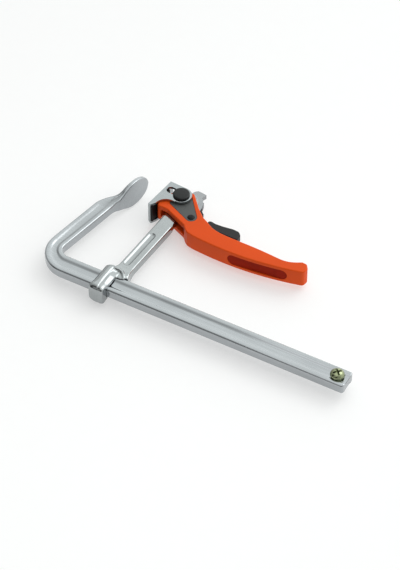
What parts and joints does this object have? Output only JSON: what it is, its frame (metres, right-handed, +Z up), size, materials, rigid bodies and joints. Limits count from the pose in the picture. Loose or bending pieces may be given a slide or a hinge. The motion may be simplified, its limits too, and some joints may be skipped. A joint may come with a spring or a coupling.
{
  "type": "quick release bar clamp",
  "caption": "Steel bar clamp: fixed arm with an oval pad on a grooved rail, sliding arm with a pivoting channel jaw and an orange ratchet lever handle with a release trigger.",
  "frame": {"origin": "middle of the bounding box, on the surface that the clamp lies on", "axes": "+X along the rail to its free end, +Y from the rail to the jaws, +Z up, across the clamp's thickness"},
  "size_m": [0.392, 0.2024, 0.036],
  "materials": {
    "rail_steel": "bright zinc-plated steel, satin",
    "yellow_zinc": "yellow zinc-plated steel",
    "arm_steel": "forged and zinc-plated steel, satin",
    "bearing_bronze": "plain bearing bronze",
    "ratchet_steel": "bright steel",
    "pin_steel": "hardened steel, dark",
    "black_cap": "matt black",
    "jaw_steel": "zinc-plated sheet steel",
    "black_liner": "matt black wear liner",
    "orange_handle": "satin orange moulding",
    "grey_plate": "matt grey steel plate",
    "soft_inlay": "dark red soft grip",
    "black_rivet": "black finished steel",
    "spring_steel": "drawn spring wire",
    "blade_steel": "black finished steel blade",
    "trigger_plastic": "dark grey moulding"
  },
  "bodies": {
    "rail_body": {"rail": "rail_steel", "stop_screw": "yellow_zinc"},
    "arm_body": {"sliding_arm": "arm_steel", "pivot_bush": "bearing_bronze", "thrust_washers": "bearing_bronze", "ratchet_sector": "ratchet_steel", "ratchet_rivets": "ratchet_steel"},
    "pin_body": {"main_pin": "pin_steel", "pin_cap_top": "black_cap", "pin_cap_bottom": "black_cap"},
    "jaw_body": {"jaw": "jaw_steel", "jaw_liner": "black_liner"},
    "handle_body_group": {"handle_body": "orange_handle", "side_plate_top": "grey_plate", "side_plate_bottom": "grey_plate", "grip_inlay": "soft_inlay", "lever_pin": "black_rivet", "lever_spring": "spring_steel"},
    "trigger_body": {"release_lever": "blade_steel", "thumb_pad": "trigger_plastic"}
  },
  "joints": [
    {"name": "arm_slide", "type": "slide", "parent": "rail_body", "child": "arm_body", "axis": [1, 0, 0], "range_m": [-0.024, 0.2735]},
    {"name": "handle_pivot", "type": "hinge", "parent": "arm_body", "child": "handle_body_group", "pos_m": [-0.0986, 0.0748, 0.018], "axis": [0, 0, 1], "range_deg": [-18, 14]},
    {"name": "jaw_swivel", "type": "hinge", "parent": "arm_body", "child": "pin_body", "pos_m": [-0.0986, 0.0748, 0.018], "axis": [0, 0, 1], "range_deg": [-4.4, 0]},
    {"name": "jaw_advance", "type": "slide", "parent": "pin_body", "child": "jaw_body", "axis": [-0.9959, 0.0906, 0], "range_m": [-0.00405, 0.0052]},
    {"name": "trigger_pivot", "type": "hinge", "parent": "handle_body_group", "child": "trigger_body", "pos_m": [-0.0723, 0.0513, 0.018], "axis": [0, 0, 1], "range_deg": [-8, 0], "stiffness_Nm_per_rad": 0.05, "springref_deg": 17.19}
  ],
  "couplings": [
    {"joint": "jaw_advance", "follows": "handle_pivot", "m_per_rad": -0.0165}
  ]
}
